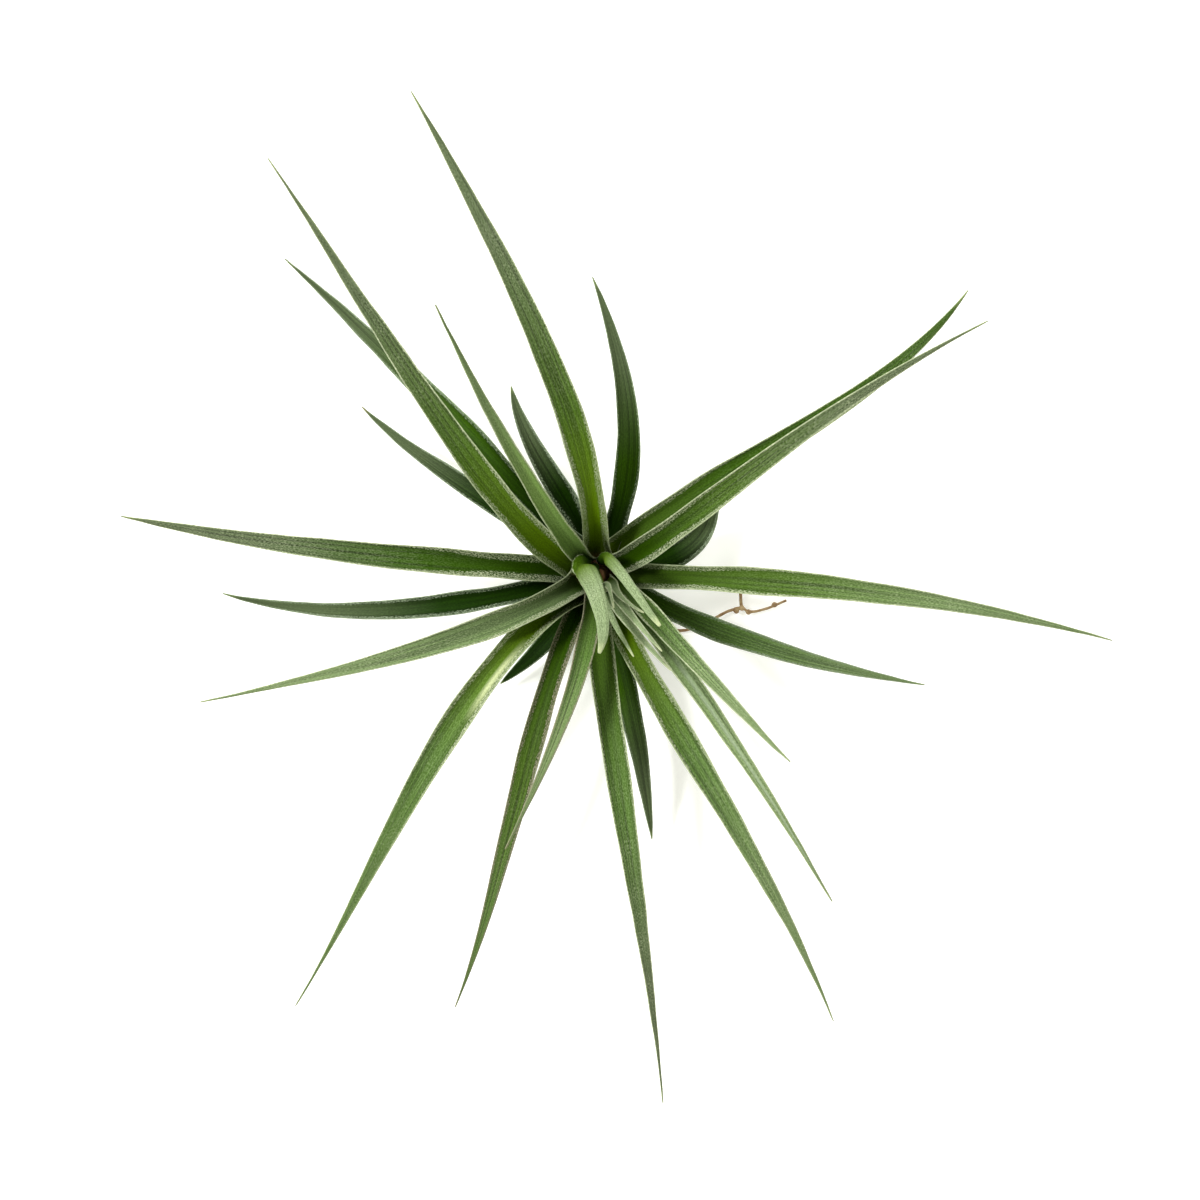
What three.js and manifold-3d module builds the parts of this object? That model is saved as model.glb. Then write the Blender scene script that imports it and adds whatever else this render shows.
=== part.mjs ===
// Air plant: a bare-rooted rosette of narrow, channelled leaves round a short stem with wiry roots.
// It stands on the foot of its stem, and the tips of its four drooping leaves all but touch the table.
// Millimetres and degrees. +Z is up, and the origin is the middle of the foot, where it meets the table.
// Directions are compass turns seen from above: 0 is +X and 90 is +Y.

import * as THREE from "three";
import { mergeVertices } from "three/addons/utils/BufferGeometryUtils.js";
import Module from "manifold-3d";

const wasm = await Module();
wasm.setup();

// Driving dimensions
const clearance = 0.3; // air left between two pieces that lie together
const stem = {
  height: 21,
  footRadius: 4,
  neckRadius: 3.2,
  topRadius: 1.3,
  domeHeight: 0.5,
  lean: 1, // how far its top stands off to the front
  scars: 6,
  scarHeight: 0.2,
  rings: 12,
  sides: 14,
};
const blade = {
  thickness: 0.9,
  tipThickness: 0.6,
  edgeThickness: 0.6,
  tipWidth: 0.3,
  shoulder: 0.35, // where the long taper to the tip starts
  ringSpacing: 8,
  fewestRings: 8,
  mostRings: 12,
};
const root = { radius: 0.38, tipRadius: 0.3, knobRadius: 0.6, rings: 22, branchRings: 6 };

// How a blade changes from its seat on the stem (0) to its tip (1). The sheath is the part that clasps
// the leaves inside it.
const gutterStations = [[0, 70], [0.12, 100], [0.25, 95], [0.42, 66], [0.65, 44], [1, 25]]; // half angle
const flareStations = [[0, 1.4], [0.12, 1.15], [0.3, 1]]; // width near the seat, as a share of the widest
const sheathStations = [[0, 0], [0.05, 0], [0.2, 1], [0.4, 0]]; // how far it is sheath

// Every leaf, the youngest first. `from` is the height of its seat on the stem, and `seat` the side
// it sits on. It sets out along `out` and comes in to its `tip` along `back`: each is a turn, a slope
// and how long it pulls. `width` is its widest when laid flat, and a higher `taper` draws it out finer.
// `sheath` is how much wider its sheath is than its blade, `tipWidth` is for a blunt tip, and `roll`
// turns a leaf over that bends across the heart.
const leaves = [
  { name: "heart_leaf_1", from: 20.4, seat: -60, width: 1.5,
    out: [-70, 86, 14], back: [-80, 40, 8], tip: [2.6, -6.4, 52] },
  { name: "heart_leaf_2", from: 20, seat: -20, width: 1.5,
    out: [-30, 84, 16], back: [-28, 25, 7], tip: [7.5, -7.2, 48] },
  { name: "heart_leaf_3", from: 19.6, seat: 115, width: 1.6, taper: 0.7, roll: 180,
    out: [-70, 80, 20], back: [-58, 5, 10], tip: [5.8, -14.3, 50] },
  { name: "heart_leaf_4", from: 19, seat: 150, width: 4.2, taper: 0.45, tipWidth: 0.9, roll: 180,
    out: [135, 84, 32], back: [-110, -25, 9], tip: [0.2, -13.6, 56] },
  { name: "heart_leaf_5", from: 18.4, seat: 65, width: 2, taper: 0.4, tipWidth: 0.8, roll: 180,
    out: [90, 83, 24], back: [-53, 10, 10], tip: [9.9, -9.3, 56] },
  { name: "heart_leaf_6", from: 18, seat: -40, width: 1.9, taper: 0.8,
    out: [-50, 82, 18], back: [-48, 15, 10], tip: [10.3, -13.4, 52] },
  { name: "heart_leaf_7", from: 17.4, seat: -60, width: 2, taper: 0.8,
    out: [-55, 80, 16], back: [-46, 5, 12], tip: [11.9, -16.6, 46] },
  { name: "upper_leaf_1", from: 16.6, seat: 130, width: 3.3, taper: 1.3, sheath: 1.5,
    out: [148, 80, 24], back: [114, 58, 30], tip: [-23.7, 38, 82] },
  { name: "upper_leaf_2", from: 15.8, seat: -105, width: 4.1, taper: 1.3,
    out: [-92, 78, 26], back: [-117, 10, 28], tip: [-15, -45.5, 48] },
  { name: "upper_leaf_3", from: 15, seat: -15, width: 4,
    out: [-30, 80, 26], back: [-45, 35, 28], tip: [30.1, -30.4, 60] },
  { name: "upper_leaf_4", from: 14.2, seat: 30, width: 4.8, taper: 1.3, sheath: 1.3,
    out: [15, 72, 30], back: [26.2, 8, 34], tip: [61.9, 39.1, 55] },
  { name: "upper_leaf_5", from: 13.4, seat: -30, width: 3.9, taper: 1.1,
    out: [-44, 76, 28], back: [-60, 5, 32], tip: [37.7, -53.6, 50] },
  { name: "upper_leaf_6", from: 12.8, seat: -165, width: 5.4, taper: 1.5,
    out: [-138, 68, 28], back: [-168.5, -5, 35], tip: [-65.4, -21.9, 42] },
  { name: "middle_leaf_1", from: 12.2, seat: 95, width: 5.9,
    out: [91, 70, 38], back: [119.5, 0, 54], tip: [-29.8, 76.2, 52] },
  { name: "middle_leaf_2", from: 11.6, seat: -86, width: 5.1, taper: 1.6, sheath: 1.25,
    out: [-97, 70, 34], back: [-85.2, -38, 46], tip: [11.9, -97.4, 0.4] },
  { name: "middle_leaf_3", from: 11, seat: -138, width: 6, taper: 1.7,
    out: [-151, 63, 50], back: [-122.9, -40, 45], tip: [-55.5, -79.6, 0.4] },
  { name: "middle_leaf_4", from: 10.4, seat: 160, width: 5.5, taper: 1.3, sheath: 1.25,
    out: [168, 68, 30], back: [123.7, -4, 36], tip: [-53.6, 66.7, 46] },
  { name: "middle_leaf_5", from: 9.8, seat: -5, width: 5.8, taper: 1.2,
    out: [-3, 66, 32], back: [-15.2, -12, 40], tip: [85.5, -11.9, 38] },
  { name: "middle_leaf_6", from: 9.2, seat: -62, width: 5.6, taper: 1.3,
    out: [-76, 66, 34], back: [-68, -30, 40], tip: [41.3, -79, 18] },
  { name: "middle_leaf_7", from: 8.6, seat: 56, width: 5.4, taper: 0.85,
    out: [48, 60, 32], back: [55, 8, 26], tip: [61.2, 46.1, 40] },
  { name: "middle_leaf_8", from: 8, seat: 175, width: 5.5, taper: 0.9, sheath: 1.15,
    out: [176, 62, 30], back: [168, -6, 34], tip: [-80.1, 9, 34] },
  { name: "middle_leaf_9", from: 7.4, seat: -113, width: 5, taper: 1.3,
    out: [-126, 64, 34], back: [-111.7, -42, 42], tip: [-26.2, -79.8, 0.4] },
  { name: "lower_leaf_1", from: 6.8, seat: 74, width: 5.4, taper: 0.9,
    out: [64, 58, 26], back: [112, -8, 22], tip: [-1, 50.5, 25] },
  { name: "lower_leaf_2", from: 6.2, seat: 132, width: 6, taper: 1.1, sheath: 0.8,
    out: [134, 56, 30], back: [138, -30, 34], tip: [-57.5, 57.5, 0.4] },
  { name: "lower_leaf_3", from: 5.6, seat: -20, width: 5, taper: 1.15,
    out: [-34.5, 54, 26], back: [-10, -22, 24], tip: [58.8, -20.4, 8] },
  { name: "lower_leaf_4", from: 5, seat: -163, width: 4.9, taper: 0.9,
    out: [-166, 52, 24], back: [165, -10, 26], tip: [-66.5, -3.9, 14] },
  { name: "lower_leaf_5", from: 4.4, seat: -78, width: 5.2, taper: 0.85,
    out: [-76, 52, 20], back: [-84, -28, 18], tip: [9.7, -48.2, 8] },
  { name: "lower_leaf_6", from: 3.8, seat: 150, width: 4.5, taper: 0.9,
    out: [143, 46, 20], back: [135, -20, 16], tip: [-42.3, 29.5, 10] },
  { name: "lower_leaf_7", from: 3.4, seat: 12, width: 6.2, taper: 0.8,
    out: [4, 42, 20], back: [90, -10, 10], tip: [20.8, 18, 12] },
  { name: "lower_leaf_8", from: 3, seat: 105, width: 5.4, taper: 0.8,
    out: [112, 44, 16], back: [101, -22, 12], tip: [-15.5, 32.9, 12] },
  { name: "lower_leaf_9", from: 2.6, seat: -125, width: 4.4, taper: 0.8,
    out: [-124, 40, 14], back: [-140, -25, 9], tip: [-17.7, -20.3, 5] },
];

// The root wanders out to one side, a millimetre or two over the table. It is knobbly, and it forks at
// its second knob.
const rootRoute = [
  [0, -1, 1.6], [7, -5.5, 1.4], [14, -10.6, 1.7], [19, -9.6, 2.1], [24.2, -7, 2.6],
  [26.2, -6.6, 2.8], [27.4, -7.2, 2.6], [30, -6.9, 2.4], [34.4, -5.2, 1.9],
];
const branchRoute = [[26.2, -6.9, 2.7], [26, -5.2, 2.9], [25.9, -3, 2.6], [25.2, -0.8, 1.8]];
const knobs = [[25.2, -7.1, 2.6], [26.2, -6.6, 2.8], [27.4, -7.3, 2.5], [32.2, -6, 2.2]];

const weldDistance = 1e-4; // corners nearer than this are one
const smallestCut = 1e-6; // a cut that takes less than this, in cubic millimetres, is left out

const up = new THREE.Vector3(0, 0, 1);
const radians = THREE.MathUtils.degToRad;
const { clamp, lerp, smoothstep } = THREE.MathUtils;

// A unit vector towards a compass turn, climbing at a slope.
function heading(turn, slope) {
  const flat = Math.cos(radians(slope));
  return new THREE.Vector3(
    flat * Math.cos(radians(turn)),
    flat * Math.sin(radians(turn)),
    Math.sin(radians(slope)),
  );
}

// The value at u, eased from one [u, value] station to the next.
function eased(stations, u) {
  const next = stations.findIndex(([at]) => at > u);
  if (next < 0) return stations.at(-1)[1];
  const [[fromU, fromValue], [toU, toValue]] = [stations[next - 1], stations[next]];
  return lerp(fromValue, toValue, smoothstep(u, fromU, toU));
}

// A closed geometry as a solid that can be joined and cut.
function solidOf(geometry) {
  const bare = geometry.clone().deleteAttribute("normal").deleteAttribute("uv");
  const merged = mergeVertices(bare, weldDistance);
  return new wasm.Manifold(new wasm.Mesh({
    numProp: 3,
    vertProperties: merged.attributes.position.array,
    triVerts: new Uint32Array(merged.index.array),
  }));
}

function geometryOf(solid) {
  const mesh = solid.getMesh();
  const geometry = new THREE.BufferGeometry();
  geometry.setAttribute("position", new THREE.BufferAttribute(mesh.vertProperties, 3));
  geometry.setIndex(new THREE.BufferAttribute(mesh.triVerts, 1));
  return geometry;
}

// A solid skinned over sections. Each section is a ring of points: its upper side from one edge to the
// other, then its lower side back again. Both sides are split into triangles alike.
function skinned(sections) {
  const around = sections[0].length;
  const wide = around / 2;
  const faces = [];
  for (let i = 0; i + 1 < sections.length; i++) {
    for (let j = 0; j < around; j++) {
      const [a, b] = [i * around + j, i * around + ((j + 1) % around)];
      const [c, d] = [b + around, a + around];
      faces.push(...(j < wide ? [a, b, c, a, c, d] : [a, b, d, b, c, d]));
    }
  }
  const last = (sections.length - 1) * around;
  for (let j = 0; j + 1 < wide; j++) {
    const [a, b, c, d] = [j, j + 1, around - 2 - j, around - 1 - j];
    faces.push(d, c, b, d, b, a);
    faces.push(last + a, last + b, last + c, last + a, last + c, last + d);
  }
  return new THREE.BufferGeometry().setFromPoints(sections.flat()).setIndex(faces);
}

// The stem leans a little, so its middle moves with height.
function stemMiddle(height) {
  return new THREE.Vector3(0, (-stem.lean * height) / stem.height, height);
}

// It narrows from its foot to its top, with a low ridge at each old leaf scar.
function stemRadius(height) {
  const climb = height / stem.height;
  const ridge = stem.scarHeight * Math.abs(Math.sin(Math.PI * stem.scars * climb)) * (1 - climb);
  return lerp(stem.neckRadius, stem.topRadius, climb) + ridge;
}

function stemSolid(grown = 0) {
  const profile = [new THREE.Vector2(0, -grown), new THREE.Vector2(stem.footRadius + grown, -grown)];
  for (let i = 1; i <= stem.rings; i++) {
    const height = (stem.height * i) / stem.rings;
    profile.push(new THREE.Vector2(stemRadius(height) + grown, height));
  }
  profile.push(new THREE.Vector2(0, stem.height + grown + stem.domeHeight));
  const geometry = new THREE.LatheGeometry(profile, stem.sides).rotateX(Math.PI / 2);
  const points = geometry.attributes.position;
  for (let i = 0; i < points.count; i++)
    points.setY(i, points.getY(i) + stemMiddle(points.getZ(i)).y);
  return solidOf(geometry);
}

// A six-sided wire along a route, thinner at its end.
function rootSolid(points, rings) {
  const route = new THREE.CatmullRomCurve3(points.map((point) => new THREE.Vector3(...point)));
  const corners = [150, 90, 30, -30, -90, -150].map(radians);
  const sections = [];
  for (let i = 0; i <= rings; i++) {
    const along = route.getTangentAt(i / rings);
    const side = new THREE.Vector3().crossVectors(along, up).normalize();
    const top = new THREE.Vector3().crossVectors(side, along);
    const radius = lerp(root.radius, root.tipRadius, i / rings);
    sections.push(corners.map((turn) => route.getPointAt(i / rings)
      .addScaledVector(side, radius * Math.cos(turn))
      .addScaledVector(top, radius * Math.sin(turn))));
  }
  return solidOf(skinned(sections));
}

function knobSolid(place) {
  return solidOf(new THREE.IcosahedronGeometry(root.knobRadius, 0).translate(...place));
}

// The roots grow out of the stem's foot, so the two are one body.
function stemAndRoots() {
  const wires = [rootSolid(rootRoute, root.rings), rootSolid(branchRoute, root.branchRings)];
  const pieces = [...wires, ...knobs.map(knobSolid)];
  return pieces.reduce((whole, piece) => whole.add(piece), stemSolid());
}

// A leaf's middle line.
function leafRoute(leaf) {
  const seat = stemMiddle(leaf.from)
    .addScaledVector(heading(leaf.seat, 0), stemRadius(leaf.from) + clearance + blade.thickness / 2);
  const tip = new THREE.Vector3(...leaf.tip);
  const [outTurn, outSlope, outPull] = leaf.out;
  const [backTurn, backSlope, backPull] = leaf.back;
  return new THREE.CubicBezierCurve3(
    seat,
    seat.clone().addScaledVector(heading(outTurn, outSlope), outPull),
    tip.clone().addScaledVector(heading(backTurn, backSlope), -backPull),
    tip,
  );
}

// Half the blade's width at u when it is laid flat.
function halfWidth(leaf, u) {
  const taper = ((1 - Math.max(u, blade.shoulder)) / (1 - blade.shoulder)) ** (leaf.taper ?? 1);
  const sheath = lerp(1, leaf.sheath ?? 1, eased(sheathStations, u));
  const width = leaf.width * eased(flareStations, u) * sheath * taper;
  return Math.max(width, leaf.tipWidth ?? blade.tipWidth) / 2;
}

const widestWrap = radians(150); // a gutter's half angle never closes past this
const smallestRadius = 0.05; // nor does its inner face fold through itself

// One leaf as a gutter swept along its route. A grown leaf is the same one with more on every side.
function leafSolid(leaf, grown = 0) {
  const route = leafRoute(leaf);
  const rings = clamp(Math.round(route.getLength() / blade.ringSpacing), blade.fewestRings, blade.mostRings);
  const across = [-1, -0.5, 0, 0.5, 1];
  const sections = [];
  for (let i = 0; i <= rings; i++) {
    const u = i / rings;
    const middle = route.getPointAt(u);
    const along = route.getTangentAt(u);
    const side = new THREE.Vector3().crossVectors(along, up).normalize()
      .applyAxisAngle(along, radians(leaf.roll ?? 0));
    const inward = new THREE.Vector3().crossVectors(side, along);
    const gutter = radians(eased(gutterStations, u));
    const radius = halfWidth(leaf, u) / gutter;
    const spread = Math.min(gutter + grown / radius, widestWrap);
    const place = (s, distance) => middle.clone()
      .addScaledVector(side, distance * Math.sin(s * spread))
      .addScaledVector(inward, radius - distance * Math.cos(s * spread));
    const ribThickness = lerp(blade.thickness, blade.tipThickness, u);
    const halfThickness = (s) => lerp(ribThickness, blade.edgeThickness, s * s) / 2;
    const upper = across.map((s) => place(s, Math.max(radius - halfThickness(s) - grown, smallestRadius)));
    const lower = across.toReversed().map((s) => place(s, radius + halfThickness(s) + grown));
    sections.push([...upper, ...lower]);
  }
  return solidOf(skinned(sections));
}

function largestBody(solid) {
  return solid.decompose().reduce((best, body) => (body.volume() > best.volume() ? body : best));
}

// Where leaf bases press together, an older leaf gives way to the stem and to the younger leaves inside it.
function settledLeaves() {
  const inside = [stemSolid(clearance)];
  return leaves.map((leaf) => {
    let solid = leafSolid(leaf);
    for (const grown of inside) {
      const cut = solid.subtract(grown);
      if (cut.volume() < solid.volume() - smallestCut) solid = largestBody(cut);
    }
    inside.push(leafSolid(leaf, clearance));
    return { leaf, solid };
  });
}

// Young leaves are pale with scurf, and the oldest, lowest ones are a deep green.
const leafColours = { heart: "#8ea682", upper: "#6c8f56", middle: "#4c7733", lower: "#335a24" };
const leafRoughness = 0.62;
const stemColour = "#7a6048";
const stemRoughness = 0.85;

function part(name, solid, color, roughness) {
  const material = new THREE.MeshStandardMaterial({ color, roughness, metalness: 0 });
  const mesh = new THREE.Mesh(geometryOf(solid), material);
  mesh.name = name;
  return mesh;
}

const plant = new THREE.Group();
for (const { leaf, solid } of settledLeaves()) {
  const tier = leaf.name.split("_")[0];
  plant.add(part(leaf.name, solid, leafColours[tier], leafRoughness));
}
plant.add(part("stem_and_roots", stemAndRoots(), stemColour, stemRoughness));

export default plant;
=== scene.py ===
# Air plant: a bare rosette on a white table, seen from straight above.
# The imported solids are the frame. Each leaf here is a finer blade on the same line as its solid.

import math

import bmesh
import bpy
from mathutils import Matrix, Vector


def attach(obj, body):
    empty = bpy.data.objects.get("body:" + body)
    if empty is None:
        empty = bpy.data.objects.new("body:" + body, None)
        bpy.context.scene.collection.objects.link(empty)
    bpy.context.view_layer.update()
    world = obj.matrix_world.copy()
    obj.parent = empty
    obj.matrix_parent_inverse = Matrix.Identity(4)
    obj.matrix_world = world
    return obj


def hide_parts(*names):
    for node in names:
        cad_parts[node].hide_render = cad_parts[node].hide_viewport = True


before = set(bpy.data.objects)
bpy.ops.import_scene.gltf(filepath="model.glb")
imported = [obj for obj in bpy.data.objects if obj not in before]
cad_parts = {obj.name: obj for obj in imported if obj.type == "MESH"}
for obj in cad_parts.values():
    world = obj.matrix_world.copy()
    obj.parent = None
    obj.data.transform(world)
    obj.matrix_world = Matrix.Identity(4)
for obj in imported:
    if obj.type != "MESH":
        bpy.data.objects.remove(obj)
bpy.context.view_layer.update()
print("frame:", len(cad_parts), "solids")

mm = 0.001


def deselectAll():
    if bpy.context.mode != "OBJECT":
        bpy.ops.object.mode_set(mode="OBJECT")
    bpy.ops.object.select_all(action="DESELECT")


def makeActive(piece):
    deselectAll()
    piece.select_set(True)
    bpy.context.view_layer.objects.active = piece


def applyAll(piece):
    makeActive(piece)
    for modifier in list(piece.modifiers):
        bpy.ops.object.modifier_apply(modifier=modifier.name)


def copyOf(piece, name):
    twin = piece.copy()
    twin.data = piece.data.copy()
    twin.name = name
    twin.data.name = name
    bpy.context.collection.objects.link(twin)
    makeActive(twin)
    return twin


def selectWhere(piece, test):  # in edit mode, the vertices whose place passes the test
    shape = bmesh.from_edit_mesh(piece.data)
    for vertex in shape.verts:
        vertex.select = test(vertex.co)
    shape.select_flush_mode()
    bmesh.update_edit_mesh(piece.data)


def linear(hexColour):  # sRGB hex to the linear colour that a shader takes
    parts = [int(hexColour[i:i + 2], 16) / 255 for i in (1, 3, 5)]
    return tuple(p / 12.92 if p <= 0.04045 else ((p + 0.055) / 1.055) ** 2.4 for p in parts) + (1,)


def addNode(tree, kind, settings=None, links=None):  # settings by property or input, links by input
    node = tree.nodes.new(kind)
    for key, value in (settings or {}).items():
        if isinstance(key, str) and hasattr(node, key):
            setattr(node, key, value)
        else:
            node.inputs[key].default_value = value
    for key, socket in (links or {}).items():
        tree.links.new(socket, node.inputs[key])
    return node


def eased(stations, u):  # from one (u, value) to the next
    for (fromU, fromValue), (toU, toValue) in zip(stations, stations[1:]):
        if u <= toU:
            t = max(0, (u - fromU) / (toU - fromU))
            return fromValue + (toValue - fromValue) * t * t * (3 - 2 * t)
    return stations[-1][1]


def heading(turn, slope):  # in degrees, to a direction of length 1
    turn, slope = math.radians(turn), math.radians(slope)
    return Vector((math.cos(slope) * math.cos(turn), math.cos(slope) * math.sin(turn), math.sin(slope)))


def roughen(piece, size, reach, direction, group=""):  # uneven as grown things are, by a cloud of this size
    cloud = bpy.data.textures.new(piece.name + "_cloud", "CLOUDS")
    cloud.noise_scale = size * mm
    uneven = piece.modifiers.new("uneven", "DISPLACE")
    uneven.texture = cloud
    uneven.direction = direction
    uneven.strength = reach * mm
    uneven.vertex_group = group


view = {"height": 400, "aim": (0.37, -5.13), "tableWidth": 220, "nearest": 1}  # mm

eye = [view["aim"][0] * mm, view["aim"][1] * mm, view["height"] * mm]
bpy.ops.object.camera_add(location=eye, rotation=(0, 0, 0))  # straight down
camera = bpy.context.object
camera.name = "camera"
camera.data.angle = 2 * math.atan(view["tableWidth"] / 2 / view["height"])
camera.data.clip_start = view["nearest"] * mm
bpy.context.scene.camera = camera

light = {  # mm and watts
    "boxes": {"softbox_left": {"from": (-660, 190, 1400), "size": 220, "power": 22},
              "softbox_top": {"from": (-420, 980, 1100), "size": 700, "power": 12}},
    "sky": 0.74, "skyTone": "#fffdf2",
}
tableTop = {  # a light table, matt and lit from below: its ground is white, and only deep shadows show on it
    "size": 6000, "tone": "#f6f6f4", "roughness": 0.9, "gloss": 0.1, "glowTone": "#ffffff", "glow": 0.26,
}

for name, box in light["boxes"].items():  # one draws the shadows, and the broad one lights the gutters
    bpy.ops.object.light_add(type="AREA", location=[c * mm for c in box["from"]])
    softbox = bpy.context.object
    softbox.name = name
    softbox.data.shape = "DISK"
    softbox.data.size = box["size"] * mm
    softbox.data.energy = box["power"]
    softbox.rotation_euler = Vector(box["from"]).to_track_quat("Z", "Y").to_euler()

studio = bpy.data.worlds.new("studio")  # even, faintly warm light from all round
studio.use_nodes = True
studio.node_tree.nodes["Background"].inputs["Color"].default_value = linear(light["skyTone"])
studio.node_tree.nodes["Background"].inputs["Strength"].default_value = light["sky"]
bpy.context.scene.world = studio
bpy.context.scene.view_settings.view_transform = "Standard"

bpy.ops.mesh.primitive_plane_add(size=tableTop["size"] * mm, location=(0, 0, 0))
table = bpy.context.object
table.name = "table"
sheet = bpy.data.materials.new("white_acrylic_lit_from_below")
sheet.use_nodes = True
sheetGloss = sheet.node_tree.nodes["Principled BSDF"]
sheetGloss.inputs["Base Color"].default_value = linear(tableTop["tone"])
sheetGloss.inputs["Roughness"].default_value = tableTop["roughness"]
sheetGloss.inputs["Specular IOR Level"].default_value = tableTop["gloss"]
sheetGloss.inputs["Emission Color"].default_value = linear(tableTop["glowTone"])
sheetGloss.inputs["Emission Strength"].default_value = tableTop["glow"]
table.data.materials.append(sheet)
print("camera, light and table")


tones = {  # sRGB: the greens from dark to light, then the scales, and the dry brown ones
    # The two darkest greens are painted shade: the lower leaves are dark where they lie under the upper ones.
    "shadowGreen": "#0e1c02", "deep": "#142a02", "moss": "#284302", "leaf": "#385014", "slate": "#404c31",
    "grass": "#435c27", "olive": "#4b6604", "lawn": "#5c7a02", "sage": "#586b42", "fern": "#65803f",
    "lime": "#6c7a44", "grey": "#71825c", "ash": "#8c9a80", "silver": "#aeb795", "cream": "#b6bf90",
    "dun": "#847f6c", "straw": "#76683a",
}

# Lengths in mm, and how many bands and veins there are across a blade. One scale is too fine to show, so a
# fleck is a clump of them, about as wide as a photo pixel. "From" and "full" are where something begins and
# is whole. They count along a blade from its foot, 0, to its tip, 1, but the keel and the rim from its
# middle, 0, to an edge, 1. The ior is that of watery leaf tissue, and there is hardly any gloss on it.
coat = {
    "fleckLong": 0.42, "fleckWide": 0.2, "patch": 3, "relief": 0.05, "depth": 0.7,
    "bandLong": 60, "bands": 9, "veinLong": 26, "veins": 22, "veinsFrom": 0.15, "veinsFull": 0.5,
    "veinsLeast": 0.2, "hemFrom": 0.26, "hemFull": 0.46, "hemCover": 0.75, "ragged": 0.5,
    "scurfFrom": 0.2, "scurfFull": 0.75, "keelFull": 0.1, "rimFrom": 0.93, "rimFull": 0.98, "rimCover": 0.6,
    "mottle": 0.2, "patchLeast": 0.6, "patchMost": 1.3, "fleckMost": 1.6,
    # how near its line the painted highlight is full, and over how much of the length it fades in and out
    "highlightCore": 0.02, "highlightFade": 0.06,
    "bareRoughness": 0.52, "scaleRoughness": 0.9, "ior": 1.42, "gloss": 0.06,
}
toneStations = [
    (0.05, "foot"), (0.16, "gutter"), (0.42, "middle"), (0.72, "outer"), (0.95, "outer"), (1, "tip"),
]


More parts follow.
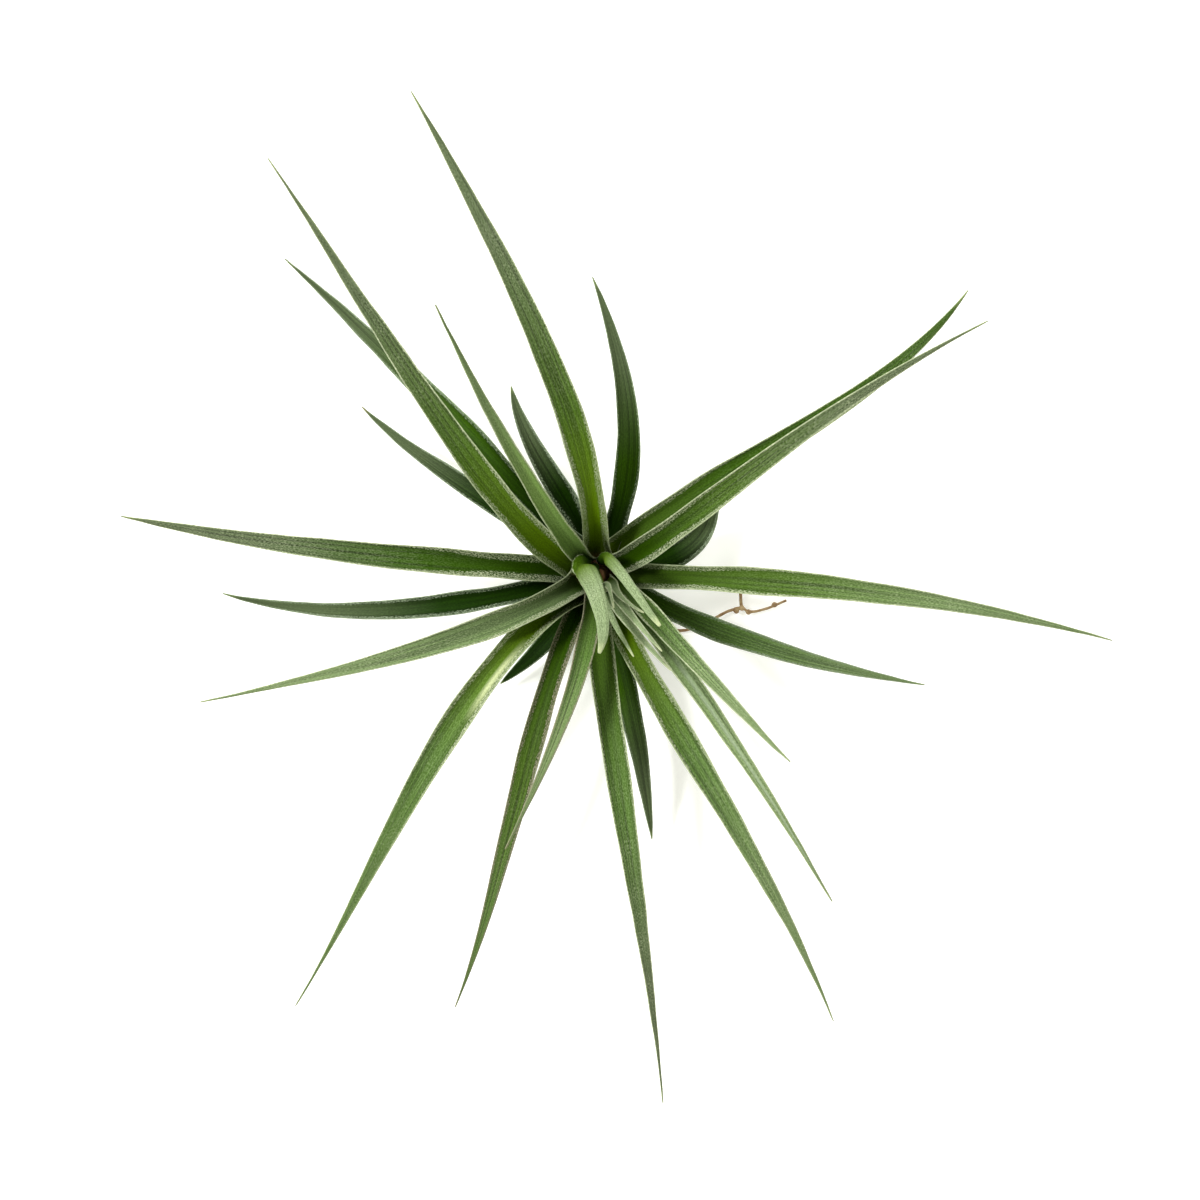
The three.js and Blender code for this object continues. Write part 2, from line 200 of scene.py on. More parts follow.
def leafSkin(name, look, length, seed):
    # Living leaf skin under a coat of tiny pale scales. It is satin and green where it is bare, and matt,
    # silvery and finely speckled where the scales are thick: along both edges, most of all near the foot.
    skin = bpy.data.materials.new(name)
    skin.use_nodes = True
    tree = skin.node_tree
    gloss = tree.nodes["Principled BSDF"]
    place = addNode(tree, "ShaderNodeTexCoord")
    spot = addNode(tree, "ShaderNodeSeparateXYZ", links={0: place.outputs["UV"]})
    along, across = spot.outputs["X"], spot.outputs["Y"]
    centred = addNode(tree, "ShaderNodeMath", {"operation": "MULTIPLY_ADD", 1: 2, 2: -1}, {0: across})
    out = addNode(tree, "ShaderNodeMath", {"operation": "ABSOLUTE"}, {0: centred.outputs[0]})  # 1 at an edge

    ramp = addNode(tree, "ShaderNodeValToRGB", links={0: along})
    stops = [(0, "straw")] + [(u, look[part]) for u, part in toneStations]  # dry where it clasps the stem
    while len(ramp.color_ramp.elements) < len(stops):
        ramp.color_ramp.elements.new(0.5)
    for element, (u, tone) in zip(ramp.color_ramp.elements, stops):
        element.position = u
        element.color = linear(tones[tone])

    # veins run the whole length and close up towards the tip, no two quite the same green, over broader bands
    bandSpan = addNode(tree, "ShaderNodeMapping",
                       {"Location": (seed, 0, 0), "Scale": (length / coat["bandLong"], coat["bands"], 1)},
                       {"Vector": place.outputs["UV"]})
    band = addNode(tree, "ShaderNodeTexNoise", {"Scale": 1, "Detail": 1}, {"Vector": bandSpan.outputs[0]})
    veinSpan = addNode(tree, "ShaderNodeMapping",
                       {"Location": (seed, seed, 0), "Scale": (length / coat["veinLong"], coat["veins"], 1)},
                       {"Vector": place.outputs["UV"]})
    vein = addNode(tree, "ShaderNodeTexNoise", {"Scale": 1, "Detail": 2, "Roughness": 0.6},
                   {"Vector": veinSpan.outputs[0]})
    stripes = addNode(tree, "ShaderNodeMath", {"operation": "ADD"}, {0: band.outputs[0], 1: vein.outputs[0]})
    strength = look["lines"]
    stripeTone = addNode(tree, "ShaderNodeMapRange", {1: 0.88, 2: 1.08, 3: 1 - strength, 4: 1 + strength},
                         {0: stripes.outputs[0]})
    drawn = addNode(tree, "ShaderNodeMapRange",  # faint near the foot
                    {1: coat["veinsFrom"], 2: coat["veinsFull"], 3: coat["veinsLeast"], 4: 1}, {0: along})
    veinTone = addNode(tree, "ShaderNodeMix", {"data_type": "FLOAT", 2: 1},
                       {0: drawn.outputs[0], 3: stripeTone.outputs[0]})
    keel = addNode(tree, "ShaderNodeMapRange", {1: 0, 2: coat["keelFull"], 3: look["keel"], 4: 1},
                   {0: out.outputs[0]})
    keelTone = addNode(tree, "ShaderNodeMix", {"data_type": "FLOAT", 2: 1},
                       {0: drawn.outputs[0], 3: keel.outputs[0]})
    tone = addNode(tree, "ShaderNodeMath", {"operation": "MULTIPLY"},
                   {0: veinTone.outputs[0], 1: keelTone.outputs[0]})

    # scales lie in rows along the veins, gathered in patches, and the green between them is mottled too;
    # noise stays near 0.5, so the ranges that pick from it are narrow
    fleckScale = (length / coat["fleckLong"], look["width"] / coat["fleckWide"], 1)
    fleckSpan = addNode(tree, "ShaderNodeMapping", {"Location": (seed, 0, 0), "Scale": fleckScale},
                        {"Vector": place.outputs["UV"]})
    fleck = addNode(tree, "ShaderNodeTexNoise", {"Scale": 1, "Detail": 2, "Roughness": 0.6},
                    {"Vector": fleckSpan.outputs[0]})
    mottle = addNode(tree, "ShaderNodeMapRange",
                     {1: 0.4, 2: 0.6, 3: 1 - coat["mottle"], 4: 1 + coat["mottle"]}, {0: fleck.outputs[0]})
    mottled = addNode(tree, "ShaderNodeMath", {"operation": "MULTIPLY"},
                      {0: tone.outputs[0], 1: mottle.outputs[0]})
    green = addNode(tree, "ShaderNodeVectorMath", {"operation": "SCALE"},
                    {0: ramp.outputs["Color"], "Scale": mottled.outputs[0]})
    fleckHere = addNode(tree, "ShaderNodeMapRange", {1: 0.46, 2: 0.58, 3: 0, 4: coat["fleckMost"]},
                        {0: fleck.outputs[0]})
    patch = addNode(tree, "ShaderNodeTexNoise", {"Scale": 1 / (coat["patch"] * mm), "Detail": 3},
                    {"Vector": place.outputs["Object"]})
    patchHere = addNode(tree, "ShaderNodeMapRange",
                        {1: 0.35, 2: 0.65, 3: coat["patchLeast"], 4: coat["patchMost"]},
                        {0: patch.outputs[0]})
    bare = addNode(tree, "ShaderNodeMapRange",
                   {1: coat["hemFrom"], 2: coat["hemFull"], 3: 1 - look["strip"], 4: 1 - look["hem"]},
                   {0: along})
    past = addNode(tree, "ShaderNodeMath", {"operation": "SUBTRACT"}, {0: out.outputs[0], 1: bare.outputs[0]})
    ragged = addNode(tree, "ShaderNodeMath", {"operation": "MULTIPLY_ADD", 1: coat["ragged"]},
                     {0: fleck.outputs[0], 2: past.outputs[0]})
    edge = addNode(tree, "ShaderNodeMapRange", {1: 0.2, 2: 0.34, 3: 0, 4: coat["hemCover"]},
                   {0: ragged.outputs[0]})
    spread = addNode(tree, "ShaderNodeMapRange",
                     {1: coat["scurfFrom"], 2: coat["scurfFull"], 3: 0, 4: look["scurf"]}, {0: along})
    amount = addNode(tree, "ShaderNodeMath", {"operation": "ADD"}, {0: edge.outputs[0], 1: spread.outputs[0]})
    patched = addNode(tree, "ShaderNodeMath", {"operation": "MULTIPLY"},
                      {0: amount.outputs[0], 1: patchHere.outputs[0]})
    flecked = addNode(tree, "ShaderNodeMath", {"operation": "MULTIPLY"},
                      {0: patched.outputs[0], 1: fleckHere.outputs[0]})
    rim = addNode(tree, "ShaderNodeMapRange",
                  {1: coat["rimFrom"], 2: coat["rimFull"], 3: 0, 4: coat["rimCover"]}, {0: out.outputs[0]})
    cover = addNode(tree, "ShaderNodeMath", {"operation": "MAXIMUM", "use_clamp": True},
                    {0: flecked.outputs[0], 1: rim.outputs[0]})
    colour = addNode(tree, "ShaderNodeMix", {"data_type": "RGBA", 7: linear(tones[look["scales"]])},
                     {0: cover.outputs[0], 6: green.outputs[0]})
    # A painted highlight: a paler strip where a fold of the blade catches the light.
    if "highlight" in look:  # a paler strip along one part of the blade
        highlight, fade = look["highlight"], coat["highlightFade"]
        aside = addNode(tree, "ShaderNodeMath", {"operation": "SUBTRACT", 1: highlight["across"]}, {0: across})
        off = addNode(tree, "ShaderNodeMath", {"operation": "ABSOLUTE"}, {0: aside.outputs[0]})
        within = addNode(tree, "ShaderNodeMapRange",
                         {1: coat["highlightCore"], 2: highlight["wide"], 3: highlight["share"], 4: 0},
                         {0: off.outputs[0]})
        begun = addNode(tree, "ShaderNodeMapRange", {1: highlight["from"], 2: highlight["from"] + fade, 3: 0, 4: 1},
                        {0: along})
        ended = addNode(tree, "ShaderNodeMapRange", {1: highlight["to"] - fade, 2: highlight["to"], 3: 1, 4: 0},
                        {0: along})
        stretch = addNode(tree, "ShaderNodeMath", {"operation": "MULTIPLY"},
                          {0: begun.outputs[0], 1: ended.outputs[0]})
        highlit = addNode(tree, "ShaderNodeMath", {"operation": "MULTIPLY"},
                       {0: within.outputs[0], 1: stretch.outputs[0]})
        uneven = addNode(tree, "ShaderNodeMath", {"operation": "MULTIPLY", "use_clamp": True},
                         {0: highlit.outputs[0], 1: mottle.outputs[0]})
        colour = addNode(tree, "ShaderNodeMix", {"data_type": "RGBA", 7: linear(tones[highlight["tone"]])},
                         {0: uneven.outputs[0], 6: colour.outputs[2]})
    tree.links.new(colour.outputs[2], gloss.inputs["Base Color"])

    rough = addNode(tree, "ShaderNodeMapRange",
                    {1: 0, 2: 1, 3: coat["bareRoughness"], 4: coat["scaleRoughness"]}, {0: cover.outputs[0]})
    tree.links.new(rough.outputs[0], gloss.inputs["Roughness"])
    height = addNode(tree, "ShaderNodeMath", {"operation": "ADD"},
                     {0: stripes.outputs[0], 1: cover.outputs[0]})
    bump = addNode(tree, "ShaderNodeBump", {"Strength": coat["depth"], "Distance": coat["relief"] * mm},
                   {"Height": height.outputs[0]})
    tree.links.new(bump.outputs[0], gloss.inputs["Normal"])
    gloss.inputs["IOR"].default_value = coat["ior"]
    gloss.inputs["Specular IOR Level"].default_value = coat["gloss"]
    return skin


stem = {  # lengths in mm, and topShares what each step of its rounded top is of the one below
    "height": 21, "footRadius": 4, "neckRadius": 3.2, "topRadius": 1.3, "lean": 1, "topShares": (0.8, 0.5),
    "scars": 6, "scarHeight": 0.2, "rings": 42, "sides": 32, "roughLong": 1.2, "rough": 0.25,
    "poreTone": "#523420", "fibreTone": "#8c6844", "fibreSize": (1.111, 1.111, 4),
}

# Along a leaf, from its foot, 0, to its tip, 1: half the angle of the gutter's arc, in degrees, how much the
# foot flares, where a leaf with a sheath is broader for it, and how the very tip closes in.
gutterStations = [(0, 70), (0.12, 100), (0.25, 95), (0.42, 66), (0.65, 44), (1, 25)]
flareStations = [(0, 1.4), (0.12, 1.15), (0.3, 1)]
sheathStations = [(0, 0), (0.05, 0), (0.2, 1), (0.4, 0)]
roundStations = [(0, 1), (0.95, 1), (1, 0.4)]

# Lengths in mm, and the profile's half angle in degrees. A blade's edges lie up to edgeOut further out than
# its width says, because the solids' thicker edges make them look that much wider from above. It waves at its
# edges, and less by the share still in its middle.
blade = {
    "rows": 36, "across": 12, "steps": 64, "profile": 80, "shoulder": 0.35, "tipWidth": 0.2,
    "standOff": 0.75, "thick": 0.8, "edgeShare": 0.26, "tipShare": 0.45, "edgeOut": 0.2,
    "waveLong": 9, "wave": 0.25, "still": 0.7,
}

# What a leaf looks like unless it says otherwise, tier by tier. The strip is the share of a blade that is
# silvery near its foot, and the hem what is left of it further out.
tiers = {
    "heart": {"foot": "moss", "gutter": "leaf", "middle": "sage", "outer": "grey", "tip": "cream",
              "scurf": 0.16, "strip": 0.16, "hem": 0.1, "lines": 0.16, "keel": 0.9, "scales": "silver"},
    "upper": {"foot": "moss", "gutter": "leaf", "middle": "grass", "outer": "sage", "tip": "lime",
              "scurf": 0.18, "strip": 0.3, "hem": 0.07, "lines": 0.38, "keel": 0.85, "scales": "silver"},
    "middle": {"foot": "olive", "gutter": "olive", "middle": "leaf", "outer": "sage", "tip": "lime",
               "scurf": 0.15, "strip": 0.42, "hem": 0.09, "lines": 0.36, "keel": 0.8, "scales": "silver"},
    # The lower leaves are dark along their whole length: painted shade, where they lie under the upper ones.
    "lower": {"foot": "shadowGreen", "gutter": "deep", "middle": "deep", "outer": "slate", "tip": "lime",
              "scurf": 0.005, "strip": 0.32, "hem": 0.12, "lines": 0.3, "keel": 0.8, "scales": "ash"},
}
undersides = {
    "heart": {"foot": "moss", "gutter": "moss", "middle": "olive", "outer": "grey",
              "scurf": 0.16, "strip": 0.08},
    "other": {"foot": "leaf", "gutter": "grass", "middle": "sage", "outer": "sage",
              "scurf": 0.5, "strip": 0.3},
}

# The same leaves as the solids, the youngest first, with what sets one's colour apart. A leaf starts at a
# height on the stem, on the side that seat says. Out is how it leaves the stem, and back how it comes in to
# its tip: turn, slope and pull, in degrees and mm. Rolled ones show their backs.
leaves = [
    {"name": "heart_leaf_1", "from": 20.4, "seat": -60, "width": 1.5,
     "out": (-70, 86, 14), "back": (-80, 40, 8), "tip": (2.6, -6.4, 52)},
    {"name": "heart_leaf_2", "from": 20, "seat": -20, "width": 1.5,
     "out": (-30, 84, 16), "back": (-28, 25, 7), "tip": (7.5, -7.2, 48)},
    {"name": "heart_leaf_3", "from": 19.6, "seat": 115, "width": 1.6, "taper": 0.7, "roll": 180,
     "out": (-70, 80, 20), "back": (-58, 5, 10), "tip": (5.8, -14.3, 50)},
    {"name": "heart_leaf_4", "from": 19, "seat": 150, "width": 4.2, "taper": 0.45, "tipWidth": 0.9,
     "roll": 180, "out": (135, 84, 32), "back": (-110, -25, 9), "tip": (0.2, -13.6, 56)},
    {"name": "heart_leaf_5", "from": 18.4, "seat": 65, "width": 2, "taper": 0.4, "tipWidth": 0.8,
     "roll": 180, "out": (90, 83, 24), "back": (-53, 10, 10), "tip": (9.9, -9.3, 56)},
    {"name": "heart_leaf_6", "from": 18, "seat": -40, "width": 1.9, "taper": 0.8,
     "out": (-50, 82, 18), "back": (-48, 15, 10), "tip": (10.3, -13.4, 52)},
    {"name": "heart_leaf_7", "from": 17.4, "seat": -60, "width": 2, "taper": 0.8,
     "out": (-55, 80, 16), "back": (-46, 5, 12), "tip": (11.9, -16.6, 46)},
    {"name": "upper_leaf_1", "from": 16.6, "seat": 130, "width": 3.3, "taper": 1.3, "sheath": 1.5,
     "out": (148, 80, 24), "back": (114, 58, 30), "tip": (-23.7, 38, 82),
     "look": {"foot": "moss", "gutter": "fern", "middle": "fern",
              "scurf": 0.08, "strip": 0.1, "lines": 0.26}},
    {"name": "upper_leaf_2", "from": 15.8, "seat": -105, "width": 4.1, "taper": 1.3,
     "out": (-92, 78, 26), "back": (-117, 10, 28), "tip": (-15, -45.5, 48),
     "look": {"strip": 0.2, "hem": 0.16, "scales": "dun"}},
    {"name": "upper_leaf_3", "from": 15, "seat": -15, "width": 4,
     "out": (-30, 80, 26), "back": (-45, 35, 28), "tip": (30.1, -30.4, 60)},
    {"name": "upper_leaf_4", "from": 14.2, "seat": 30, "width": 4.8, "taper": 1.3, "sheath": 1.3,
     "out": (15, 72, 30), "back": (26.2, 8, 34), "tip": (61.9, 39.1, 55),
     "look": {"gutter": "moss", "middle": "leaf", "outer": "slate", "strip": 0.46, "hem": 0.14}},
    {"name": "upper_leaf_5", "from": 13.4, "seat": -30, "width": 3.9, "taper": 1.1,
     "out": (-44, 76, 28), "back": (-60, 5, 32), "tip": (37.7, -53.6, 50),
     "look": {"gutter": "leaf", "middle": "sage",
              # a painted highlight, where a fold of the blade catches the light
              "highlight": {"across": 0.5, "wide": 0.16, "from": 0.36, "to": 0.95, "tone": "ash",
                         "share": 0.6}}},
    {"name": "upper_leaf_6", "from": 12.8, "seat": -165, "width": 5.4, "taper": 1.5,
     "out": (-138, 68, 28), "back": (-168.5, -5, 35), "tip": (-65.4, -21.9, 42),
     "look": {"gutter": "sage", "middle": "sage", "scurf": 0.2, "strip": 0.4}},
    {"name": "middle_leaf_1", "from": 12.2, "seat": 95, "width": 5.9,
     "out": (91, 70, 38), "back": (119.5, 0, 54), "tip": (-29.8, 76.2, 52),
     "look": {"gutter": "lawn", "outer": "slate", "scurf": 0.1, "strip": 0.5}},
    {"name": "middle_leaf_2", "from": 11.6, "seat": -86, "width": 5.1, "taper": 1.6, "sheath": 1.25,
     "out": (-97, 70, 34), "back": (-85.2, -38, 46), "tip": (11.9, -97.4, 0.4),
     "look": {"gutter": "leaf", "middle": "grass", "outer": "slate",
              "scurf": 0.2, "strip": 0.2, "keel": 0.6}},
    {"name": "middle_leaf_3", "from": 11, "seat": -138, "width": 6, "taper": 1.7,
     "out": (-151, 63, 50), "back": (-122.9, -40, 45), "tip": (-55.5, -79.6, 0.4),
     "look": {"middle": "grass", "outer": "grass", "hem": 0.16,
              # a painted highlight, where the curled edge of the blade catches the light
              "highlight": {"across": 0.26, "wide": 0.16, "from": 0.2, "to": 0.36, "tone": "cream",
                         "share": 0.95}}},
    {"name": "middle_leaf_4", "from": 10.4, "seat": 160, "width": 5.5, "taper": 1.3, "sheath": 1.25,
     "out": (168, 68, 30), "back": (123.7, -4, 36), "tip": (-53.6, 66.7, 46),
     "look": {"middle": "leaf", "outer": "slate", "scurf": 0.12}},
    {"name": "middle_leaf_5", "from": 9.8, "seat": -5, "width": 5.8, "taper": 1.2,
     "out": (-3, 66, 32), "back": (-15.2, -12, 40), "tip": (85.5, -11.9, 38),
     "look": {"foot": "leaf", "gutter": "leaf", "middle": "leaf"}},
    {"name": "middle_leaf_6", "from": 9.2, "seat": -62, "width": 5.6, "taper": 1.3,
     "out": (-76, 66, 34), "back": (-68, -30, 40), "tip": (41.3, -79, 18),
     "look": {"middle": "grass", "hem": 0.18}},
    {"name": "middle_leaf_7", "from": 8.6, "seat": 56, "width": 5.4, "taper": 0.85,
     "out": (48, 60, 32), "back": (55, 8, 26), "tip": (61.2, 46.1, 40),
     "look": {"gutter": "leaf", "middle": "moss", "outer": "moss", "scurf": 0.08}},
    {"name": "middle_leaf_8", "from": 8, "seat": 175, "width": 5.5, "taper": 0.9, "sheath": 1.15,
     "out": (176, 62, 30), "back": (168, -6, 34), "tip": (-80.1, 9, 34),
     "look": {"foot": "moss", "gutter": "moss", "middle": "moss", "outer": "slate", "strip": 0.55}},
    {"name": "middle_leaf_9", "from": 7.4, "seat": -113, "width": 5, "taper": 1.3,
     "out": (-126, 64, 34), "back": (-111.7, -42, 42), "tip": (-26.2, -79.8, 0.4),
     "look": {"foot": "moss", "gutter": "moss", "outer": "grass", "hem": 0.3, "scales": "dun"}},
    {"name": "lower_leaf_1", "from": 6.8, "seat": 74, "width": 5.4, "taper": 0.9,
     "out": (64, 58, 26), "back": (112, -8, 22), "tip": (-1, 50.5, 25),
     "look": {"middle": "moss"}},
    {"name": "lower_leaf_2", "from": 6.2, "seat": 132, "width": 6, "taper": 1.1, "sheath": 0.8,
     "out": (134, 56, 30), "back": (138, -30, 34), "tip": (-57.5, 57.5, 0.4),
     "look": {"middle": "moss", "hem": 0.24}},
    {"name": "lower_leaf_3", "from": 5.6, "seat": -20, "width": 5, "taper": 1.15,
     "out": (-34.5, 54, 26), "back": (-10, -22, 24), "tip": (58.8, -20.4, 8),
     "look": {"gutter": "moss", "middle": "grass", "outer": "sage", "scurf": 0.14, "hem": 0.24}},
    {"name": "lower_leaf_4", "from": 5, "seat": -163, "width": 4.9, "taper": 0.9,
     "out": (-166, 52, 24), "back": (165, -10, 26), "tip": (-66.5, -3.9, 14),
     "look": {"hem": 0.34}},
    {"name": "lower_leaf_5", "from": 4.4, "seat": -78, "width": 5.2, "taper": 0.85,
     "out": (-76, 52, 20), "back": (-84, -28, 18), "tip": (9.7, -48.2, 8),
     "look": {"middle": "moss", "hem": 0.2}},
    {"name": "lower_leaf_6", "from": 3.8, "seat": 150, "width": 4.5, "taper": 0.9,
     "out": (143, 46, 20), "back": (135, -20, 16), "tip": (-42.3, 29.5, 10),
     "look": {"hem": 0.2, "tip": "straw"}},
    {"name": "lower_leaf_7", "from": 3.4, "seat": 12, "width": 6.2, "taper": 0.8,
     "out": (4, 42, 20), "back": (90, -10, 10), "tip": (20.8, 18, 12),
     "look": {"hem": 0.34}},
    {"name": "lower_leaf_8", "from": 3, "seat": 105, "width": 5.4, "taper": 0.8,
     "out": (112, 44, 16), "back": (101, -22, 12), "tip": (-15.5, 32.9, 12),
     "look": {"strip": 0.5, "hem": 0.3}},
    {"name": "lower_leaf_9", "from": 2.6, "seat": -125, "width": 4.4, "taper": 0.8,
     "out": (-124, 40, 14), "back": (-140, -25, 9), "tip": (-17.7, -20.3, 5),
     # its outer part is dark green too, painted shade under the leaves above
     "look": {"outer": "deep", "hem": 0.16}},
]


def stemMiddle(height):
    return Vector((0, -stem["lean"] * height / stem["height"], height))


def stemRadius(height):
    climb = height / stem["height"]
    ridge = stem["scarHeight"] * abs(math.sin(math.pi * stem["scars"] * climb)) * (1 - climb)
    return stem["neckRadius"] + (stem["topRadius"] - stem["neckRadius"]) * climb + ridge


def bladeBlank():  # one straight blade, 1 long, its gutter 1 wide and 1 deep. Every leaf starts as its copy.
    deselectAll()
    bpy.ops.mesh.primitive_grid_add(x_subdivisions=blade["rows"], y_subdivisions=blade["across"],
                                    size=1, rotation=(math.pi / 2, 0, 0))
    blank = bpy.context.object
    bpy.ops.object.transform_apply(rotation=True)  # it stands on edge, as the bend wants it
    curl = blank.modifiers.new("curl", "SIMPLE_DEFORM")
    curl.deform_method = "BEND"
    curl.deform_axis = "X"
    curl.angle = math.radians(2 * blade["profile"])
    applyAll(blank)
    blank.rotation_euler = (math.pi / 2, 0, 0)
    bpy.ops.object.transform_apply(rotation=True)
    wide, deep = blank.dimensions.y, blank.dimensions.z
    bpy.ops.object.mode_set(mode="EDIT")
    bpy.ops.mesh.select_all(action="SELECT")
    bpy.ops.mesh.flip_normals()  # towards the inside of the gutter, which is the leaf's upper side
    bpy.ops.transform.translate(value=(0.5, 0, 0))
    bpy.ops.transform.resize(value=(1, 1 / wide, 1 / deep), center_override=(0, 0, 0))
    bpy.ops.object.mode_set(mode="OBJECT")
    return blank


def leafRoute(leaf):  # the leaf's middle line as a Bezier curve, from the stem to the tip
    reach = stemRadius(leaf["from"]) + blade["standOff"]
    seat = stemMiddle(leaf["from"]) + heading(leaf["seat"], 0) * reach
    tip = Vector(leaf["tip"])
    outTurn, outSlope, outPull = leaf["out"]
    backTurn, backSlope, backPull = leaf["back"]
    deselectAll()
    bpy.ops.curve.primitive_bezier_curve_add(location=(0, 0, 0))
    route = bpy.context.object
    route.data.twist_mode = "Z_UP"
    route.data.resolution_u = blade["steps"]
    first, last = route.data.splines[0].bezier_points
    for point in (first, last):
        point.handle_left_type = point.handle_right_type = "FREE"
        point.tilt = math.radians(leaf.get("roll", 0))
    first.co = seat * mm
    first.handle_left = first.co
    first.handle_right = (seat + heading(outTurn, outSlope) * outPull) * mm
    last.co = tip * mm
    last.handle_left = (tip - heading(backTurn, backSlope) * backPull) * mm
    last.handle_right = last.co
    return route


def sectionAt(leaf, u):  # how wide and how deep the gutter is
    shoulder = blade["shoulder"]
    taper = ((1 - max(u, shoulder)) / (1 - shoulder)) ** leaf.get("taper", 1)
    sheath = 1 + (leaf.get("sheath", 1) - 1) * eased(sheathStations, u)
    width = leaf["width"] * eased(flareStations, u) * sheath * taper
    half = max(width, leaf.get("tipWidth", blade["tipWidth"])) / 2
    gutter = math.radians(eased(gutterStations, u))
    radius = half / gutter
    wide = 2 * (radius + blade["edgeOut"]) * math.sin(min(gutter, math.pi / 2))
    return wide * eased(roundStations, u), radius * (1 - math.cos(gutter))


def makeLeaf(blank, leaf, index):
    leafPiece = copyOf(blank, leaf["name"] + "_blade")
    rows = blade["rows"]
    bpy.ops.object.mode_set(mode="EDIT")
    bpy.ops.mesh.select_mode(type="VERT")
    for row in range(rows + 1):
        u = row / rows
        selectWhere(leafPiece, lambda place: abs(place.x - u) < 0.3 / rows)  # this row alone
        wide, deep = sectionAt(leaf, u)
        bpy.ops.transform.resize(value=(1, wide * mm, deep * mm), center_override=(u, 0, 0))
    bpy.ops.object.mode_set(mode="OBJECT")

    # thick along the middle, thin at the edges and the tip, where it waves the most
    thick = leafPiece.vertex_groups.new(name="thick")
    margin = leafPiece.vertex_groups.new(name="margin")
    uvs = {}
    layer = leafPiece.data.uv_layers.active.data
    for loop in leafPiece.data.loops:
        uvs[loop.vertex_index] = layer[loop.index].uv
    for vertex, (along, across) in uvs.items():
        middle = 1 - (2 * across - 1) ** 2
        thick.add([vertex], middle * (1 - along * (1 - blade["tipShare"])), "REPLACE")
        margin.add([vertex], 1 - blade["still"] * middle, "REPLACE")

    route = leafRoute(leaf)
    length = route.data.splines[0].calc_length()
    makeActive(leafPiece)
    bpy.ops.object.mode_set(mode="EDIT")
    bpy.ops.mesh.select_all(action="SELECT")
    bpy.ops.transform.resize(value=(length, 1, 1), center_override=(0, 0, 0))
    bpy.ops.object.mode_set(mode="OBJECT")

    wall = leafPiece.modifiers.new("wall", "SOLIDIFY")
    wall.thickness = blade["thick"] * mm
    wall.offset = 0
    wall.vertex_group = "thick"
    wall.thickness_vertex_group = blade["edgeShare"]
    wall.material_offset = 1  # the underside has its own skin
    smooth = leafPiece.modifiers.new("smooth", "SUBSURF")
    smooth.levels = smooth.render_levels = 1
    arch = leafPiece.modifiers.new("arch", "CURVE")
    arch.object = route
    arch.deform_axis = "POS_X"
    roughen(leafPiece, blade["waveLong"], blade["wave"], "RGB_TO_XYZ", "margin")

    tier = leaf["name"].split("_")[0]
    look = {**tiers[tier], **leaf.get("look", {}), "width": leaf["width"]}
    back = {**look, **undersides.get(tier, undersides["other"])}
    # each side of each leaf has its own part of the noise
    leafPiece.data.materials.append(leafSkin("leaf_skin_" + leaf["name"], look, length / mm, index))
    leafPiece.data.materials.append(leafSkin("leaf_back_" + leaf["name"], back, length / mm, index + 0.5))
    applyAll(leafPiece)
    bpy.ops.object.shade_smooth()
    bpy.data.objects.remove(route)
    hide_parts(leaf["name"])
    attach(leafPiece, "root")


blank = bladeBlank()
for index, leaf in enumerate(leaves):
    makeLeaf(blank, leaf, index)
bpy.data.objects.remove(blank)
print("leaves:", len(leaves))


# The relief is in mm. Pore and fibre are where in the noise each has its full tone.
wood = {"relief": 0.1, "depth": 0.8, "roughness": 0.85, "gloss": 0.2, "pore": 0.35, "fibre": 0.65}


def dryWood(name, look):
    # Dry plant tissue, grown in thin fibres: dull and brown, darker in its pores, with hardly any gloss.
    # One fibre is too fine to show, so what it draws are bundles of them.
    bark = bpy.data.materials.new(name)
    bark.use_nodes = True
    tree = bark.node_tree
    gloss = tree.nodes["Principled BSDF"]
    place = addNode(tree, "ShaderNodeTexCoord")
    fibreScale = [1 / (size * mm) for size in look["fibreSize"]]
    fibreSpan = addNode(tree, "ShaderNodeMapping", {"Scale": fibreScale}, {"Vector": place.outputs["Object"]})
    fibre = addNode(tree, "ShaderNodeTexNoise", {"Scale": 1, "Detail": 4, "Roughness": 0.65},
                    {"Vector": fibreSpan.outputs[0]})
    shade = addNode(tree, "ShaderNodeValToRGB", links={0: fibre.outputs[0]})
    for element, part in zip(shade.color_ramp.elements, ("pore", "fibre")):
        element.position = wood[part]
        element.color = linear(look[part + "Tone"])
    tree.links.new(shade.outputs[0], gloss.inputs["Base Color"])
    bump = addNode(tree, "ShaderNodeBump", {"Strength": wood["depth"], "Distance": wood["relief"] * mm},
                   {"Height": fibre.outputs[0]})
    tree.links.new(bump.outputs[0], gloss.inputs["Normal"])
    gloss.inputs["Roughness"].default_value = wood["roughness"]
    gloss.inputs["Specular IOR Level"].default_value = wood["gloss"]
    return bark


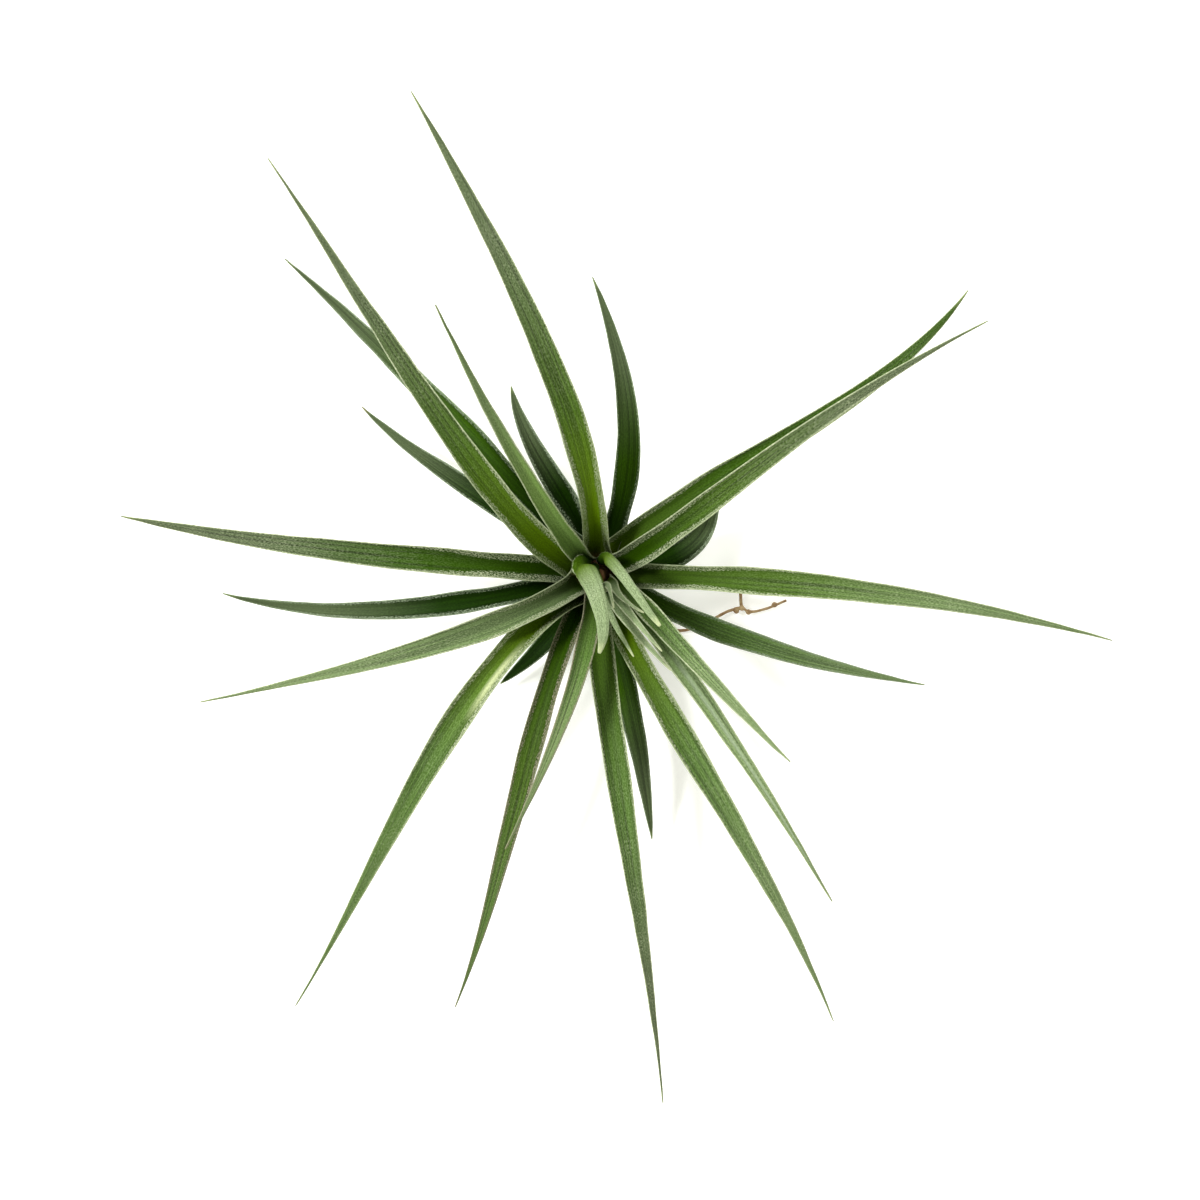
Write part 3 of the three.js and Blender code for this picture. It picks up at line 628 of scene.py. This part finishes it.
def makeStem():  # drawn up from its flat foot ring by ring, with a low ridge at each old leaf scar
    deselectAll()
    bpy.ops.mesh.primitive_circle_add(vertices=stem["sides"], radius=stem["footRadius"] * mm,
                                      fill_type="NGON", location=(0, 0, 0))
    stemPiece = bpy.context.object
    stemPiece.name = "woody_stem"
    bpy.ops.object.mode_set(mode="EDIT")
    bpy.ops.mesh.select_all(action="SELECT")
    step = stem["height"] / stem["rings"]
    rise = Vector((0, -stem["lean"] / stem["rings"], step)) * mm
    radius = stem["footRadius"]
    for ring in range(1, stem["rings"] + 1):
        bpy.ops.mesh.extrude_region_move(TRANSFORM_OT_translate={"value": rise})
        share = stemRadius(ring * step) / radius
        bpy.ops.transform.resize(value=(share, share, 1), center_override=stemMiddle(ring * step) * mm)
        radius = radius * share
    for share in stem["topShares"]:
        bpy.ops.mesh.extrude_region_move(TRANSFORM_OT_translate={"value": rise / 2})
        bpy.ops.transform.resize(value=(share, share, 1), center_override=stemMiddle(stem["height"]) * mm)
    bpy.ops.mesh.select_all(action="SELECT")
    bpy.ops.mesh.normals_make_consistent(inside=False)
    bpy.ops.object.mode_set(mode="OBJECT")
    above = stemPiece.vertex_groups.new(name="above")  # the foot stays flat
    above.add([v.index for v in stemPiece.data.vertices if v.co.z > step * mm / 2], 1, "REPLACE")
    smooth = stemPiece.modifiers.new("smooth", "SUBSURF")
    smooth.levels = smooth.render_levels = 1
    roughen(stemPiece, stem["roughLong"], stem["rough"], "NORMAL", "above")
    applyAll(stemPiece)
    bpy.ops.object.shade_smooth()
    stemPiece.data.materials.append(dryWood("stem_wood_fibrous", stem))
    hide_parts("stem_and_roots")
    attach(stemPiece, "root")


makeStem()
print("stem")

root = {  # lengths in mm
    "radius": 0.32, "tipShare": 0.8, "knobRadius": 0.52, "detail": 3, "grain": 0.1, "soften": 2,
    "gnarlLong": 0.7, "gnarl": 0.12,
    "poreTone": "#7d5f42", "fibreTone": "#b39c76", "fibreSize": (1.429, 1.429, 1.429),
}
rootRoute = [
    (0, -1, 1.6), (7, -5.5, 1.4), (14, -10.6, 1.7), (19, -9.6, 2.1), (24.2, -7, 2.6),
    (26.2, -6.6, 2.8), (27.4, -7.2, 2.6), (30, -6.9, 2.4), (34.4, -5.2, 1.9),
]
branchRoute = [(26.2, -6.9, 2.7), (26, -5.2, 2.9), (25.9, -3, 2.6), (25.2, -0.8, 1.8)]
knobs = [(25.2, -7.1, 2.6), (26.2, -6.6, 2.8), (27.4, -7.3, 2.5), (32.2, -6, 2.2)]


def wire(route):  # a round wire through these places, thinner at its end
    deselectAll()
    bpy.ops.curve.primitive_bezier_curve_add(location=(0, 0, 0))
    line = bpy.context.object
    points = line.data.splines[0].bezier_points
    points.add(len(route) - 2)
    for index, (point, place) in enumerate(zip(points, route)):
        point.co = Vector(place) * mm
        point.handle_left_type = point.handle_right_type = "AUTO"
        point.radius = 1 - (1 - root["tipShare"]) * index / (len(route) - 1)
    line.data.bevel_depth = root["radius"] * mm
    line.data.bevel_resolution = root["detail"]
    line.data.use_fill_caps = True
    bpy.ops.object.convert(target="MESH")
    return bpy.context.object


def makeRoot():  # two wires and their knobs, melted into one and gnarled
    grown = [wire(rootRoute), wire(branchRoute)]
    for place in knobs:
        deselectAll()
        bpy.ops.mesh.primitive_ico_sphere_add(subdivisions=root["detail"],
                                              radius=root["knobRadius"] * mm, location=Vector(place) * mm)
        bpy.ops.object.transform_apply(location=True)
        grown.append(bpy.context.object)
    deselectAll()
    for part in grown:
        part.select_set(True)
    rootPiece = grown[0]
    bpy.context.view_layer.objects.active = rootPiece
    bpy.ops.object.join()
    rootPiece.name = "wiry_root"
    melt = rootPiece.modifiers.new("melt", "REMESH")
    melt.mode = "VOXEL"
    melt.voxel_size = root["grain"] * mm
    soften = rootPiece.modifiers.new("soften", "SMOOTH")
    soften.iterations = root["soften"]
    roughen(rootPiece, root["gnarlLong"], root["gnarl"], "NORMAL")
    applyAll(rootPiece)
    bpy.ops.object.shade_smooth()
    rootPiece.data.materials.append(dryWood("root_bark_wiry", root))
    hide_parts("stem_and_roots")
    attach(rootPiece, "root")


makeRoot()
print("root")
